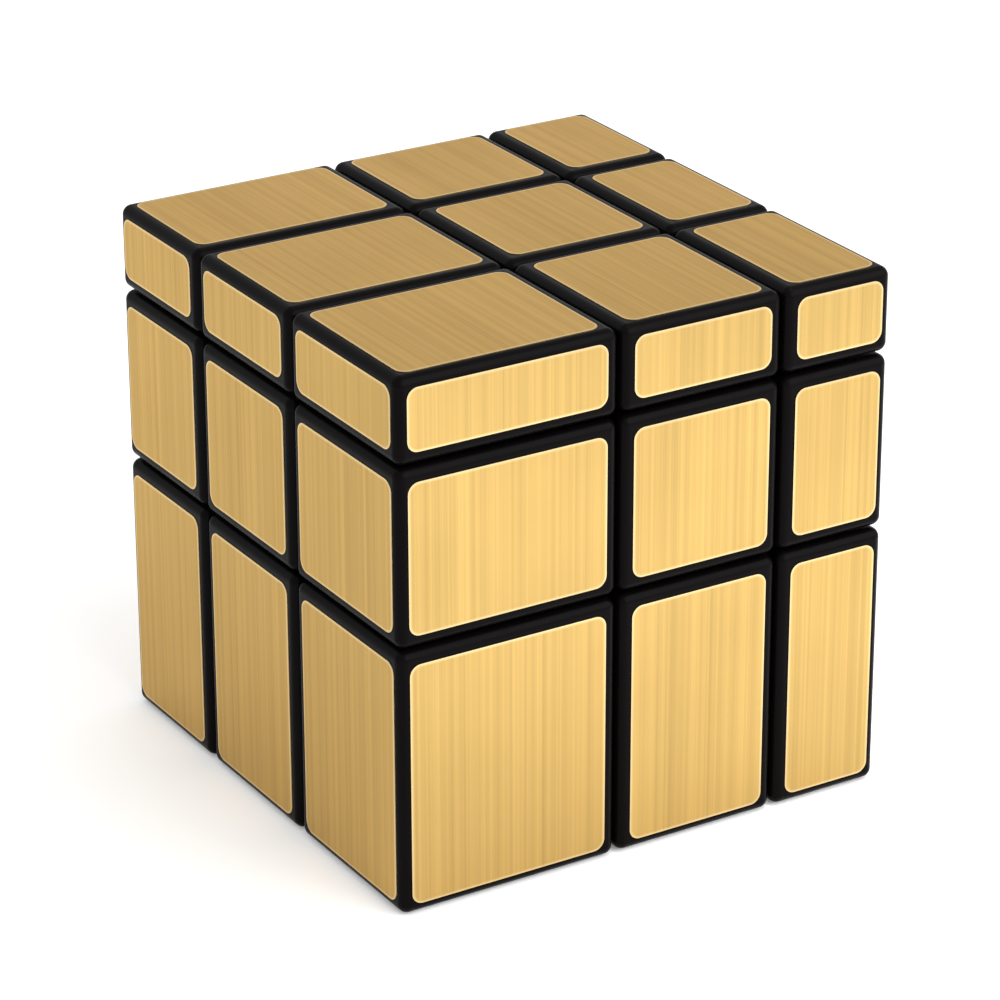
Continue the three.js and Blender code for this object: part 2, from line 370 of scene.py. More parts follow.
@once
def zinc_plated_steel(name, finishes):
    # Bright zinc on steel, passivated: pale and slightly blue, with straw coloured blotches
    # under a millimetre across where the film is thicker, and a fine tumbled grain.
    material, tree, shader = new_material(name, finishes.steel, {"Metallic": 1.0})
    place = add(tree, "ShaderNodeTexCoord").outputs["Object"]
    blotch = add(tree, NOISE, {"Vector": place, "Scale": 1400, "Detail": 3})
    grain = add(tree, NOISE, {"Vector": place, "Scale": 9000, "Detail": 2})
    thick = {"Value": blotch, "From Min": 0.45, "From Max": 0.75, "To Min": 0, "To Max": 1}
    film = add(tree, MAP_RANGE, thick)
    tones = {0: film, 6: tuple(finishes.steel), 7: linear("cbbf9c")}
    add(tree, "ShaderNodeMix", tones, shader.inputs["Base Color"], data_type="RGBA")
    rough = {**MOST_NOISE, "Value": blotch, "To Min": 0.2, "To Max": 0.38}
    add(tree, MAP_RANGE, rough, shader.inputs["Roughness"])
    skin = {"Height": grain, "Strength": 0.4, "Distance": 0.000003}
    add(tree, "ShaderNodeBump", skin, shader.inputs["Normal"])
    return material


@once
def drawn_spring_wire(name, finishes):
    # Hard drawn steel wire: a dull grey-brown metal with darker patches of drawing soap
    # about a millimetre long, and a roughness that varies finely from the die.
    material, tree, shader = new_material(name, finishes.wire, {"Metallic": 1.0})
    place = add(tree, "ShaderNodeTexCoord").outputs["Object"]
    soap = add(tree, NOISE, {"Vector": place, "Scale": 900, "Detail": 2})
    grain = add(tree, NOISE, {"Vector": place, "Scale": 7000, "Detail": 2})
    tones = {0: soap, 6: tuple(finishes.wire), 7: linear("6e675d")}
    add(tree, "ShaderNodeMix", tones, shader.inputs["Base Color"], data_type="RGBA")
    rough = {**MOST_NOISE, "Value": grain, "To Min": 0.3, "To Max": 0.5}
    add(tree, MAP_RANGE, rough, shader.inputs["Roughness"])
    return material


@once
def brushed_gold_film(name, finishes):
    # Metallised polyester film, brushed one way before its gold lacquer: long fine streaks
    # that lighten and darken in bands under a millimetre wide, and a reflection smeared
    # across the brushing. The fine lines are drawn about 0.2 mm apart, coarser than the real
    # ones, so that they show. The pressed rim is painted paler: a painted highlight in place of
    # the glint on its bent edge.
    sheen = (1.0, 0.82, 0.66, 1.0)
    values = {"Metallic": 1.0, "Anisotropic": 0.7, "Specular Tint": sheen}
    material, tree, shader = new_material(name, finishes.foil, values)
    place = add(tree, "ShaderNodeUVMap", uv_map="brushing").outputs[0]
    noises = []
    for scale, detail in (((5000, 8, 1), 2), ((1500, 3, 1), 3), ((90, 60, 1), 2)):
        stretched = add(tree, "ShaderNodeMapping", {"Vector": place, "Scale": scale})
        noise = {"Vector": stretched, "Scale": 1, "Detail": detail}
        noises.append(add(tree, NOISE, noise))
    fine, band, cloud = noises
    mixed = {"Factor": 0.35, "A": band, "B": fine}
    streaks = add(tree, "ShaderNodeMix", mixed, data_type="FLOAT")
    shades = {**MOST_NOISE, "Value": streaks, "To Min": 0.82, "To Max": 1.16}
    shade = add(tree, MAP_RANGE, shades)
    tint = {0: tuple(finishes.foil)[:3], "Scale": shade}
    toned = add(tree, "ShaderNodeVectorMath", tint, operation="SCALE")
    # The rim is mixed towards a pale gold: a painted highlight for the glint on the pressed edge,
    # not a colour of the film.
    rim = add(tree, "ShaderNodeAttribute", attribute_name="rim").outputs["Fac"]
    painted_rim_highlight = add(tree, MATH, {0: rim, 1: 0.6}, operation="MULTIPLY")
    tones = {0: painted_rim_highlight, 6: toned, 7: linear("f0dcae")}
    add(tree, "ShaderNodeMix", tones, shader.inputs["Base Color"], data_type="RGBA")
    rough = {**MOST_NOISE, "Value": cloud, "To Min": 0.3, "To Max": 0.4}
    add(tree, MAP_RANGE, rough, shader.inputs["Roughness"])
    skin = {"Height": fine, "Strength": 0.35, "Distance": 0.000004}
    add(tree, "ShaderNodeBump", skin, shader.inputs["Normal"])
    across = {"direction_type": "UV_MAP", "uv_map": "brushing"}
    add(tree, "ShaderNodeTangent", None, shader.inputs["Tangent"], **across)
    return material


# ---- geometry node trees
def new_tree(name, kinds):
    """A geometry node tree with named inputs, a material last, and those inputs' sockets."""
    tree = bpy.data.node_groups.new(name, "GeometryNodeTree")
    for label, kind in {**kinds, "Material": "Material"}.items():
        tree.interface.new_socket(label, in_out="INPUT", socket_type="NodeSocket" + kind)
    tree.interface.new_socket("Mesh", in_out="OUTPUT", socket_type="NodeSocketGeometry")
    sockets = add(tree, "NodeGroupInput").outputs
    return tree, [sockets[label] for label in (*kinds, "Material")]


def end_tree(tree, geometry, material):
    """Ends a tree in Realize Instances and Set Material."""
    real = add(tree, "GeometryNodeRealizeInstances", {"Geometry": geometry})
    dressed = add(tree, "GeometryNodeSetMaterial", {"Geometry": real, "Material": material})
    add(tree, "NodeGroupOutput", {"Mesh": dressed})
    return tree


def rounded_block_tree():
    """A cuboid grid whose outer rows are drawn onto quarter rounds of a given radius."""
    kinds = {"Low": "Vector", "High": "Vector", "Round": "Float", "Steps": "Int"}
    tree, (low, high, radius, steps, material) = new_tree("rounded block", kinds)
    twice = {0: steps, 1: 2.0, 2: 2.0}
    rows = add(tree, MATH, twice, operation="MULTIPLY_ADD")
    rows_each_way = {"Vertices " + axis: rows for axis in "XYZ"}
    grid = add(tree, "GeometryNodeMeshCube", {"Size": (1, 1, 1), **rows_each_way})
    at = add(tree, "GeometryNodeInputPosition")
    cells = add(tree, MATH, {0: rows, 1: 1.0}, operation="SUBTRACT")
    counts, radii = (
        add(tree, "ShaderNodeCombineXYZ", dict.fromkeys(AXES, each)) for each in (steps, radius)
    )
    # Each row's number from the middle becomes its angle round the edge. The outermost rows
    # reach 45 degrees, where the rounds of two faces meet.
    made = {"at": at}
    for name, operation, *values in (
        ("size", "SUBTRACT", high, low),
        ("sum", "ADD", high, low),
        ("middle", "SCALE", "sum", 0.5),
        ("away", "ABSOLUTE", "at"),
        ("counted", "SCALE", "away", cells),
        ("past flat", "SUBTRACT", "counted", (0.5, 0.5, 0.5)),
        ("share", "DIVIDE", "past flat", counts),
        ("angle", "SCALE", "share", math.pi / 4),
        ("slope", "TANGENT", "angle"),
        ("way", "NORMALIZE", "slope"),
        ("out", "SCALE", "way", radius),
        ("half", "SCALE", "size", 0.5),
        ("flat", "SUBTRACT", "half", radii),
        ("corner", "ADD", "flat", "out"),
        ("side", "SIGN", "at"),
        ("signed", "MULTIPLY", "side", "corner"),
        ("placed", "ADD", "signed", "middle"),
    ):
        slots = (0, "Scale") if operation == "SCALE" else (0, 1)
        known = [made[value] if isinstance(value, str) else value for value in values]
        inputs = dict(zip(slots, known))
        made[name] = add(tree, "ShaderNodeVectorMath", inputs, operation=operation)
    moving = {"Geometry": grid, "Position": made["placed"]}
    return end_tree(tree, add(tree, "GeometryNodeSetPosition", moving), material)


def sticker_tree():
    """A flat plate with rounded corners, standing on the XY plane."""
    kinds = dict.fromkeys(("Width", "Height", "Corner", "Thickness"), "Float")
    tree, (width, height, corner, thickness, material) = new_tree("foil sticker", kinds)
    size = {"Width": width, "Height": height}
    outline = add(tree, "GeometryNodeCurvePrimitiveQuadrilateral", size)
    rounding = {"Curve": outline, "Count": CORNER_STEPS, "Radius": corner}
    soft = add(tree, "GeometryNodeFilletCurve", rounding, mode="POLY")
    sheet = add(tree, "GeometryNodeFillCurve", {"Curve": soft}, mode="NGONS")
    under = add(tree, "GeometryNodeFlipFaces", {"Mesh": sheet})
    lift = {"Offset": (0, 0, 1), "Offset Scale": thickness, "Individual": False}
    raised = add(tree, "GeometryNodeExtrudeMesh", {"Mesh": sheet, **lift})
    both = add(tree, "GeometryNodeJoinGeometry")
    tree.links.new(under.outputs[0], both.inputs[0])
    tree.links.new(raised.outputs[0], both.inputs[0])
    closed = add(tree, "GeometryNodeMergeByDistance", {"Geometry": both, "Distance": WELD})
    return end_tree(tree, closed, material)


def thread_tree():
    """A ridge of diamond section that winds up a screw from the XY plane."""
    kinds = dict.fromkeys(("Root", "Depth", "Turns", "Height"), "Float")
    tree, (root, depth, turns, height, material) = new_tree("screw thread", kinds)
    winding = {"Resolution": THREAD_STEPS, "Rotations": turns, "Height": height}
    winding |= {"Start Radius": root, "End Radius": root}
    path = add(tree, "GeometryNodeCurveSpiral", winding)
    upright = add(tree, "GeometryNodeSetCurveNormal", {"Curve": path}, mode="Z_UP")
    diamond = {"Resolution": 4, "Radius": depth}
    section = add(tree, "GeometryNodeCurvePrimitiveCircle", diamond)
    swept = {"Curve": upright, "Profile Curve": section, "Fill Caps": True}
    return end_tree(tree, add(tree, "GeometryNodeCurveToMesh", swept), material)


def spring_tree():
    """A compression spring: round wire wound open, with one closed turn at each end."""
    kinds = dict.fromkeys(("Coil", "Wire", "Turns", "Rise", "Closed"), "Float")
    tree, (coil, wire, turns, rise, closed, material) = new_tree("compression spring", kinds)
    winding = {"Resolution": COIL_STEPS, "Rotations": turns, "Height": rise}
    winding |= {"Start Radius": coil, "End Radius": coil}
    path = add(tree, "GeometryNodeCurveSpiral", winding)
    along = add(tree, "GeometryNodeSplineParameter").outputs["Factor"]
    first = add(tree, MATH, {0: 1.0, 1: turns}, operation="DIVIDE")
    last = add(tree, MATH, {0: 1.0, 1: first}, operation="SUBTRACT")
    ends = add(tree, MATH, {0: closed, 1: 2.0}, operation="MULTIPLY")
    wide = add(tree, MATH, {0: rise, 1: ends}, operation="SUBTRACT")
    height = 0.0
    for start, stop, climb in ((0.0, first, closed), (first, last, wide), (last, 1.0, closed)):
        stretch = {"Value": along, "From Min": start, "From Max": stop, "To Max": climb}
        climbed = add(tree, MAP_RANGE, stretch)
        height = add(tree, MATH, {0: height, 1: climbed}, operation="ADD")
    here = add(tree, "GeometryNodeInputPosition")
    at = add(tree, "ShaderNodeSeparateXYZ", {0: here}).outputs
    risen = add(tree, "ShaderNodeCombineXYZ", {0: at[0], 1: at[1], 2: height})
    wound = add(tree, "GeometryNodeSetPosition", {"Geometry": path, "Position": risen})
    round_wire = {"Resolution": WIRE_SIDES, "Radius": wire}
    section = add(tree, "GeometryNodeCurvePrimitiveCircle", round_wire)
    swept = {"Curve": wound, "Profile Curve": section, "Fill Caps": True}
    return end_tree(tree, add(tree, "GeometryNodeCurveToMesh", swept), material)


def grown(tree, values):
    """The plain mesh that a geometry node tree makes from these inputs."""
    holder = bpy.data.objects.new("holder", bpy.data.meshes.new("holder"))
    bpy.context.scene.collection.objects.link(holder)
    modifier = holder.modifiers.new("nodes", "NODES")
    modifier.node_group = tree
    for item in tree.interface.items_tree:
        if item.in_out == "INPUT":
            modifier[item.identifier] = values[item.name]
    return plain(holder)


def plain(holder):
    """Turns an object's evaluated shape into a mesh of its own and removes the object."""
    graph = bpy.context.evaluated_depsgraph_get()
    mesh = bpy.data.meshes.new_from_object(holder.evaluated_get(graph), depsgraph=graph)
    bpy.data.objects.remove(holder)
    return mesh


# ---- solids, cut the way the moulds are
def tool(mesh):
    """An object to cut with."""
    made = bpy.data.objects.new("tool", mesh)
    bpy.context.scene.collection.objects.link(made)
    return made


def cuboid(low, high):
    shape = bmesh.new()
    bmesh.ops.create_cube(shape, size=1)
    size = [b - a for a, b in zip(low, high)]
    middle = [(a + b) / 2 for a, b in zip(low, high)]
    bmesh.ops.transform(
        shape, verts=shape.verts, matrix=Matrix.Translation(middle) @ Matrix.Diagonal((*size, 1))
    )
    return from_bmesh(shape)


def slab(axis, start, end, half=FAR):
    """A square plate between two places on an axis."""
    low, high = [-half] * 3, [half] * 3
    low[axis], high[axis] = sorted((start, end))
    return cuboid(low, high)


def bar(radius, axis, start, end, segments=None):
    """A round bar along an axis."""
    shape = bmesh.new()
    segments = segments or bpy.context.scene.cube_blocks.bore_segments
    sizes = {"radius1": radius, "radius2": radius, "depth": abs(end - start)}
    bmesh.ops.create_cone(shape, cap_ends=True, segments=segments, **sizes)
    along = outwards(axis, 1)
    turn = UP.rotation_difference(along).to_matrix().to_4x4()
    move = Matrix.Translation(along * (start + end) / 2)
    bmesh.ops.transform(shape, verts=shape.verts, matrix=move @ turn)
    return from_bmesh(shape)


def lathe(profile, segments, closed=False):
    """Turns a profile of radius and height round +Z. A closed profile makes a ring."""
    shape = bmesh.new()
    rings = []
    for radius, height in profile:
        if radius == 0:
            rings.append([shape.verts.new((0, 0, height))] * segments)
            continue
        angles = [math.tau * i / segments for i in range(segments)]
        rings.append(
            [shape.verts.new((radius * math.cos(a), radius * math.sin(a), height)) for a in angles]
        )
    pairs = list(zip(rings, rings[1:]))
    if closed:
        pairs.append((rings[-1], rings[0]))
    for lower, upper in pairs:
        for i in range(segments):
            corners = (lower[i - 1], lower[i], upper[i], upper[i - 1])
            shape.faces.new(list(dict.fromkeys(corners)))
    bmesh.ops.recalc_face_normals(shape, faces=shape.faces)
    return from_bmesh(shape)


def from_bmesh(shape):
    mesh = bpy.data.meshes.new("tool")
    shape.to_mesh(mesh)
    shape.free()
    return tool(mesh)


def carve(start, *steps):
    """Joins, cuts and keeps: each step is an operation and the solid it is done with."""
    for operation, other in steps:
        cut = start.modifiers.new(operation.title(), "BOOLEAN")
        cut.operation = operation
        cut.object = other
        cut.solver = "MANIFOLD"
    mesh = plain(start)
    if not mesh.polygons:
        raise RuntimeError("a cut left nothing of a piece")
    return tool(mesh)


def clear_tools():
    for made in [o for o in bpy.data.objects if o.name.startswith("tool")]:
        bpy.data.objects.remove(made)


def outer_space(axis, sign):
    """All that turns with an outer layer: its blocks, and the round disc of feet under it."""
    radius = bpy.context.scene.cube_blocks.groove_radius - GAP / 2
    disc = bar(radius, axis, sign * FOOT_START, sign * (BLOCK_START + GAP))
    return carve(slab(axis, sign * BLOCK_START, sign * FAR), ("UNION", disc))


def middle_space(axis):
    """All that stays between two outer layers, with a round groove in each side."""
    radius = bpy.context.scene.cube_blocks.groove_radius + GAP / 2
    start = FOOT_START - GAP
    grooves = [bar(radius, axis, sign * start, sign * FAR) for sign in (-1, 1)]
    plate = slab(axis, -MIDDLE_HALF, MIDDLE_HALF)
    return carve(plate, *(("DIFFERENCE", groove) for groove in grooves))


def block_span(indices, inset=0.0, inner=None):
    """Low and high corner of a block. The outer faces leave room for the foil."""
    foil = bpy.context.scene.cube_foil.thickness
    low, high = [], []
    for axis, index in enumerate(indices):
        start, end = SPANS[axis][index]
        if index > 0:
            start, end = (inner or start), end - foil
        elif index < 0:
            start, end = start + foil, -(inner or -end)
        low.append(start + inset)
        high.append(end - inset)
    return low, high


def foot_span(indices, distance):
    """The space round the core that feet may fill, on the piece's own side of it."""
    low = [{-1: -distance, 0: -CUT, 1: 0}[i] for i in indices]
    high = [{-1: 0, 0: CUT, 1: distance}[i] for i in indices]
    return low, high


def rounded_block(low, high):
    sizes = bpy.context.scene.cube_blocks
    tree = bpy.data.node_groups.get("rounded block") or rounded_block_tree()
    values = {"Low": low, "High": high, "Round": sizes.edge_round, "Steps": sizes.round_steps}
    return tool(grown(tree, {**values, "Material": glossy_black_abs()}))


def keep_spaces(indices):
    """The three layer spaces that a piece lies in, as steps of carving."""
    return [
        ("INTERSECT", outer_space(axis, index) if index else middle_space(axis))
        for axis, index in enumerate(indices)
    ]


def finish_piece(name, made, material, node, matrix=None):
    """Puts a solid in its place, shades it, and lets it ride on the body of a CAD node."""
    made.data.transform(matrix or Matrix.Translation(CORE))
    made.data.materials.clear()
    made.data.materials.append(material)
    made.data.shade_smooth()
    made.data.set_sharp_from_angle(angle=SHARP)
    weighted = made.modifiers.new("Weighted normals", "WEIGHTED_NORMAL")
    weighted.keep_sharp = True
    mesh = plain(made)
    mesh.name = name
    made = bpy.data.objects.new(name, mesh)
    bpy.context.scene.collection.objects.link(made)
    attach(made, BODY_OF[node])
    return made


def stand_in(node, ending, solid, material, matrix=None):
    """Finishes a solid as the piece that takes the place of its CAD node."""
    made = finish_piece(node + ending, solid, material, node, matrix)
    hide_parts(node)
    clear_tools()
    return made


def outwards(axis, sign):
    """The direction that a side of the cube faces."""
    return Vector([sign * float(a == axis) for a in AXES])


def one_each_side(make, ending, material):
    """Makes the same piece for each side of the cube, from one that stands along +Z."""
    pattern = make().data
    made = {}
    for side, facing in SIDES.items():
        turn = UP.rotation_difference(outwards(*facing)).to_matrix().to_4x4()
        matrix = Matrix.Translation(CORE) @ turn
        solid = tool(pattern.copy())
        made[side] = stand_in(side + ending, "_piece", solid, material, matrix)
    return made


# ---- operators
class MIRRORCUBE_OT_corner_shells(bpy.types.Operator):
    """Makes the eight corner shells, hollow and open at the inner corner"""

    bl_idname = "mirrorcube.corner_shells"
    bl_label = "Corner shells"

    def execute(self, context):
        sizes = context.scene.cube_blocks
        for indices in places(3):
            node = piece_name(indices) + "_corner_shell"
            shell = carve(
                rounded_block(*block_span(indices)),
                ("DIFFERENCE", cuboid(*block_span(indices, sizes.wall))),
                ("DIFFERENCE", cuboid(*foot_span(indices, FOOT_REACH + sizes.fit))),
            )
            stand_in(node, "_block", shell, glossy_black_abs())
        return {"FINISHED"}


class MIRRORCUBE_OT_edge_blocks(bpy.types.Operator):
    """Makes the twelve edge blocks, each hollow with its foot in one piece"""

    bl_idname = "mirrorcube.edge_blocks"
    bl_label = "Edge blocks"

    def execute(self, context):
        sizes = context.scene.cube_blocks
        for indices in places(2):
            node = piece_name(indices) + "_edge"
            free = indices.index(0)
            rib = bar(sizes.groove_radius + GAP / 2 + sizes.wall, free, -FAR, FAR)
            cavity = carve(cuboid(*block_span(indices, sizes.wall)), ("DIFFERENCE", rib))
            low, high = block_span(indices, sizes.wall + sizes.vent_radius)
            hole = bar(sizes.vent_radius, free, -CUT, CUT, SMALL_ROUND)
            at = [{-1: low[a], 0: 0.0, 1: high[a]}[index] for a, index in enumerate(indices)]
            hole.data.transform(Matrix.Translation(at))
            edge = carve(
                rounded_block(*block_span(indices)),
                ("UNION", cuboid(*foot_span(indices, FOOT_REACH))),
                *keep_spaces(indices),
                ("DIFFERENCE", cavity),
                ("DIFFERENCE", hole),
            )
            stand_in(node, "_block", edge, glossy_black_abs())
        return {"FINISHED"}


class MIRRORCUBE_OT_centre_caps(bpy.types.Operator):
    """Makes the six centre caps, each with the tube that seats it in its centre base"""

    bl_idname = "mirrorcube.centre_caps"
    bl_label = "Centre caps"

    def execute(self, context):
        sizes = context.scene.cube_blocks
        start = BASE_TOP + sizes.fit
        for indices in places(1):
            node = piece_name(indices) + "_centre_cap"
            axis = next(a for a in AXES if indices[a])
            sign = indices[axis]
            low, high = block_span(indices, inner=BLOCK_START - sizes.edge_round)
            face = max(abs(low[axis]), abs(high[axis]))
            roof = face - sizes.wall
            steps = [("INTERSECT", slab(axis, sign * start, sign * FAR))]
            if roof - start > sizes.wall:
                room = slab(axis, sign * CAP_TUBE_END, sign * roof, MIDDLE_HALF - sizes.wall)
                steps.append(("DIFFERENCE", room))
            tube = (axis, sign * CAP_TUBE_END, sign * (face - sizes.wall / 2), WIDE_ROUND)
            steps.append(("UNION", bar(sizes.tube_radius, *tube)))
            bore = (axis, sign * FOOT_START, sign * max(roof, start), WIDE_ROUND)
            steps.append(("DIFFERENCE", bar(sizes.tube_radius - sizes.tube_wall, *bore)))
            cap = carve(rounded_block(low, high), *steps)
            stand_in(node, "_block", cap, glossy_black_abs())
        return {"FINISHED"}


def press_rim(mesh, foil):
    """Leaves the outside of the sheet lower than the rest and marks it as the rim, the band that
    the foil's material paints paler as a painted highlight.
    """
    shape = bmesh.new()
    shape.from_mesh(mesh)
    # The rim attribute is the mask for the foil's painted highlight.
    rim_highlight_mask = shape.verts.layers.float.new("rim")
    for corner in shape.verts:
        corner[rim_highlight_mask] = 1.0
    top = [face for face in shape.faces if face.normal.z > FACES_UP]
    bmesh.ops.inset_region(shape, faces=top, thickness=foil.rim, depth=foil.rim_drop)
    for face in top:
        for corner in face.verts:
            corner[rim_highlight_mask] = 0.0
    shape.to_mesh(mesh)
    shape.free()
    return mesh


def outline(indices, across, foil):
    """Low and high corner of the sticker on the face of a block that an axis passes through."""
    low, high = Vector(), Vector()
    for axis in set(AXES) - {across}:
        index = indices[axis]
        start, end = SPANS[axis][index]
        low[axis] = start + (foil.outer_margin if index < 0 else foil.inner_margin - GAP / 2)
        high[axis] = end - (foil.outer_margin if index > 0 else foil.inner_margin - GAP / 2)
    return low, high


def brushed_up(out):
    """Turns a sheet with +Z outwards, and its brushing (+Y) upright on the walls."""
    along = Vector((0, 1, 0)) if out.z else UP
    return Matrix((along.cross(out), along, out)).transposed()


class MIRRORCUBE_OT_foil(bpy.types.Operator):
    """Puts a brushed foil sticker on each of the 54 outer faces"""

    bl_idname = "mirrorcube.foil"
    bl_label = "Foil stickers"

    def execute(self, context):
        foil = context.scene.cube_foil
        chance = random.Random(foil.seed)
        tree = sticker_tree()
        for indices in places(1) + places(2) + places(3):
            kind = {1: "centre_cap", 2: "edge", 3: "corner_shell"}[sum(map(abs, indices))]
            place = piece_name(indices)
            for side, (axis, sign) in SIDES.items():
                if indices[axis] != sign:
                    continue
                low, high = outline(indices, axis, foil)
                turn = brushed_up(outwards(axis, sign))
                size = turn.inverted() @ (high - low)
                middle = (low + high) / 2
                middle[axis] = sign * (abs(SPANS[axis][sign][(sign + 1) // 2]) - foil.thickness)
                values = {"Width": abs(size.x), "Height": abs(size.y), "Corner": foil.corner_round}
                values["Thickness"] = foil.thickness - foil.rim_drop
                values["Material"] = brushed_gold_film()
                sheet = tool(press_rim(grown(tree, values), foil))
                drift = Vector((chance.uniform(0, FILM_SIDE), chance.uniform(0, FILM_SIDE)))
                uv = sheet.data.uv_layers.new(name="brushing")
                for loop in sheet.data.loops:
                    uv.data[loop.index].uv = sheet.data.vertices[loop.vertex_index].co.xy + drift
                matrix = Matrix.Translation(CORE + middle) @ turn.to_4x4()
                name, node = place + "_" + side + "_sticker", place + "_" + kind
                finish_piece(name, sheet, brushed_gold_film(), node, matrix)
                clear_tools()
        return {"FINISHED"}


class MIRRORCUBE_OT_core(bpy.types.Operator):
    """Makes the core: a ball with six arms, each bored for its screw"""

    bl_idname = "mirrorcube.core"
    bl_label = "Core"

    def execute(self, context):
        works = context.scene.cube_works
        fit = context.scene.cube_blocks.fit
        ball = bmesh.new()
        radius = math.sqrt(2) * FOOT_START - works.ball_room
        bmesh.ops.create_icosphere(ball, subdivisions=BALL_DETAIL, radius=radius)
        arm = FOOT_START - works.arm_room
        steps = []
        for axis, sign in SIDES.values():
            steps.append(("UNION", bar(arm, axis, 0, sign * ARM_END, WIDE_ROUND)))
        for axis, sign in SIDES.values():
            hole = (axis, sign * (SCREW_TIP - fit), sign * (ARM_END + fit), SCREW_ROUND)
            steps.append(("DIFFERENCE", bar(works.shank + fit, *hole)))
        core = carve(from_bmesh(ball), *steps)
        stand_in("core", "_piece", core, moulded_inner_abs())
        return {"FINISHED"}


class MIRRORCUBE_OT_corner_feet(bpy.types.Operator):
    """Makes the eight corner feet, which plug into the shells and hook under three edges"""

    bl_idname = "mirrorcube.corner_feet"
    bl_label = "Corner feet"

    def execute(self, context):
        for indices in places(3):
            node = piece_name(indices) + "_corner_foot"
            foot = carve(cuboid(*foot_span(indices, FOOT_REACH)), *keep_spaces(indices))
            stand_in(node, "_piece", foot, moulded_inner_abs())
        return {"FINISHED"}


def base():
    works = bpy.context.scene.cube_works
    fit = bpy.context.scene.cube_blocks.fit
    floor = SPRING_LOW - works.seat
    well = WASHER_RADIUS + works.well_room
    return carve(
        cuboid((-CUT, -CUT, BASE_BOTTOM), (CUT, CUT, BASE_TOP)),
        *keep_spaces((0, 0, 1)),
        ("DIFFERENCE", bar(works.shank + fit, 2, 0, BASE_TOP, SCREW_ROUND)),
        ("DIFFERENCE", bar(well, 2, floor, BASE_TOP + fit, WIDE_ROUND)),
    )


class MIRRORCUBE_OT_centre_bases(bpy.types.Operator):
    """Makes the six centre bases: a square stem with a well for the spring and the screw"""

    bl_idname = "mirrorcube.centre_bases"
    bl_label = "Centre bases"

    def execute(self, context):
        one_each_side(base, "_centre_base", moulded_inner_abs())
        return {"FINISHED"}


def screw():
    works = bpy.context.scene.cube_works
    under = SCREW_TOP - works.head_height
    root = works.shank - works.thread_depth
    start = SCREW_TIP + works.shank
    end = ARM_END - works.thread_pitch
    skirt = under + works.head_height * HEAD_SKIRT
    dome = [
        (HEAD_RADIUS * math.sqrt(math.cos(a)), skirt + (SCREW_TOP - skirt) * math.sin(a))
        for a in (math.pi / 2 * i / DOME_STEPS for i in range(DOME_STEPS))
    ]
    tip = [(0, SCREW_TIP), (root / 2, SCREW_TIP), (root, SCREW_TIP + root)]
    shank = [(root, end), (works.shank, ARM_END), (works.shank, under)]
    rim = (HEAD_RADIUS - works.thread_depth / 2, under)
    body = lathe([*tip, *shank, rim, *dome, (0, SCREW_TOP)], WIDE_ROUND)
    turns = (end - start) / works.thread_pitch
    values = {"Root": root, "Depth": works.thread_depth, "Turns": turns, "Height": end - start}
    thread = tool(grown(thread_tree(), {**values, "Material": zinc_plated_steel()}))
    thread.data.transform(Matrix.Translation((0, 0, start)))
    wings = [("DIFFERENCE", blade(works, crossways)) for crossways in (False, True)]
    return carve(body, ("UNION", thread), *wings)


def blade(works, crossways):
    """One wing of the driver, shorter at its bottom."""
    shape = bmesh.new()
    bottom, top = SCREW_TOP - works.drive_depth, SCREW_TOP + works.seat
    for height, share in ((bottom, DRIVE_TAPER), (top, 1.0)):
        x, y = works.drive_reach * share, works.drive_width / 2
        if crossways:
            x, y = y, x
        for sx, sy in ((-1, -1), (1, -1), (1, 1), (-1, 1)):
            shape.verts.new((sx * x, sy * y, height))
    shape.verts.ensure_lookup_table()
    low, high = shape.verts[:4], shape.verts[4:]
    shape.faces.new(list(reversed(low)))
    shape.faces.new(high)
    for i in range(4):
        shape.faces.new((low[i - 1], low[i], high[i], high[i - 1]))
    return from_bmesh(shape)


class MIRRORCUBE_OT_screws(bpy.types.Operator):
    """Makes the six screws, with a pan head, a cross recess and a thread in the core"""

    bl_idname = "mirrorcube.screws"
    bl_label = "Screws"

    def execute(self, context):
        one_each_side(screw, "_screw", zinc_plated_steel())
        return {"FINISHED"}


def washer():
    works = bpy.context.scene.cube_works
    inner = works.shank + bpy.context.scene.cube_blocks.fit
    soft = works.washer_break
    outer, low, high = WASHER_RADIUS, WASHER_LOW, WASHER_HIGH
    under = [(inner, low + soft), (inner + soft, low), (outer - soft, low), (outer, low + soft)]
    over = [(radius, high - (height - low)) for radius, height in reversed(under)]
    return lathe(under + over, WIDE_ROUND, closed=True)


class MIRRORCUBE_OT_washers(bpy.types.Operator):
    """Makes the six washers, punched, with broken edges"""

    bl_idname = "mirrorcube.washers"
    bl_label = "Washers"

    def execute(self, context):
        one_each_side(washer, "_washer", zinc_plated_steel())
        return {"FINISHED"}


def spring():
    works = bpy.context.scene.cube_works
    rise = SPRING_HIGH - SPRING_LOW - 2 * works.wire
    closed = 2 * works.wire + works.seat / 2
    coil = (works.shank + WASHER_RADIUS + works.well_room) / 2
    turns = 2 + (rise - 2 * closed) / works.coil_pitch
    values = {"Coil": coil, "Wire": works.wire, "Turns": turns, "Rise": rise, "Closed": closed}
    made = tool(grown(spring_tree(), {**values, "Material": drawn_spring_wire()}))
    made.data.transform(Matrix.Translation((0, 0, SPRING_LOW + works.wire)))
    return made


class MIRRORCUBE_OT_springs(bpy.types.Operator):
    """Makes the six springs that press the centre bases on the core"""

    bl_idname = "mirrorcube.springs"
    bl_label = "Springs"

    def execute(self, context):
        made = one_each_side(spring, "_spring", drawn_spring_wire())
        for side, piece in made.items():
            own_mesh(piece)
        return {"FINISHED"}


